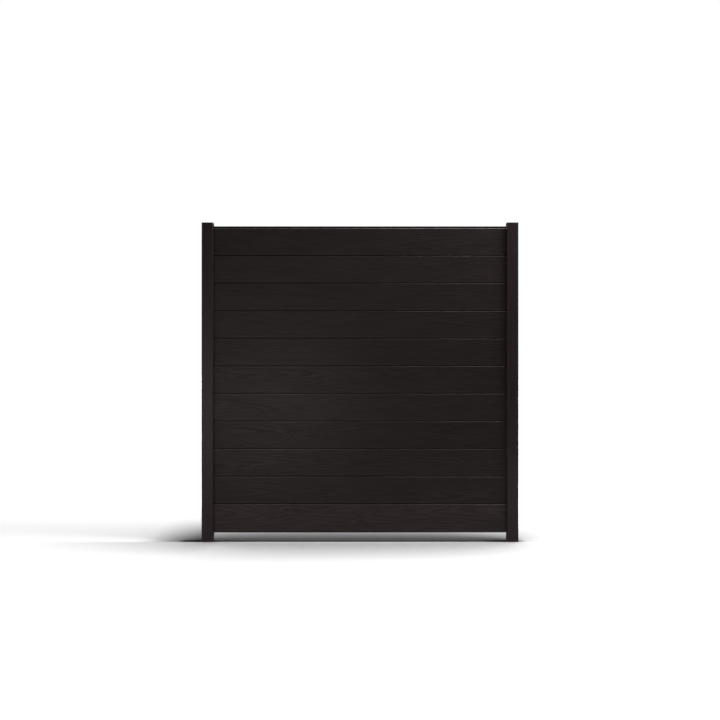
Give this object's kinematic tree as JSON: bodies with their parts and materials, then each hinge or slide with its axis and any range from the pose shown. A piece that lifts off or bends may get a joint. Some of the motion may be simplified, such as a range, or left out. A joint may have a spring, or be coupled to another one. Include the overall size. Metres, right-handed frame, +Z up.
{
  "type": "composite privacy fence panel",
  "caption": "Privacy fence panel: stacked hollow tongue-and-groove boards with embossed wood grain, held between two square aluminium posts with open channels and flat caps.",
  "frame": {"origin": "on the ground, midway between the two posts and midway through their depth", "axes": "+X along the panel towards the right post, +Y from the front face to the back, +Z up"},
  "size_m": [1.815, 0.065, 1.83],
  "materials": {
    "board_composite": "dark brown-black extruded composite with an embossed wood grain",
    "post_aluminium": "black-brown fine-textured powder coat",
    "cap_aluminium": "black-brown fine-textured powder coat",
    "trim_aluminium": "black-brown semi-gloss powder coat",
    "bracket_aluminium": "mill finish",
    "screw_steel": "stainless, pan heads",
    "seal_rubber": "black extruded rubber strip"
  },
  "bodies": {
    "root": {"board_01": "board_composite", "board_02": "board_composite", "board_03": "board_composite", "board_04": "board_composite", "board_05": "board_composite", "board_06": "board_composite", "board_07": "board_composite", "board_08": "board_composite", "board_09": "board_composite", "board_10": "board_composite", "board_11": "board_composite", "bottom_rail": "trim_aluminium", "bracket_screws": "screw_steel", "left_channel_seals": "seal_rubber", "left_post": "post_aluminium", "left_post_cap": "cap_aluminium", "left_rail_bracket": "bracket_aluminium", "right_channel_seals": "seal_rubber", "right_post": "post_aluminium", "right_post_cap": "cap_aluminium", "right_rail_bracket": "bracket_aluminium", "top_trim": "trim_aluminium"}
  },
  "joints": []
}
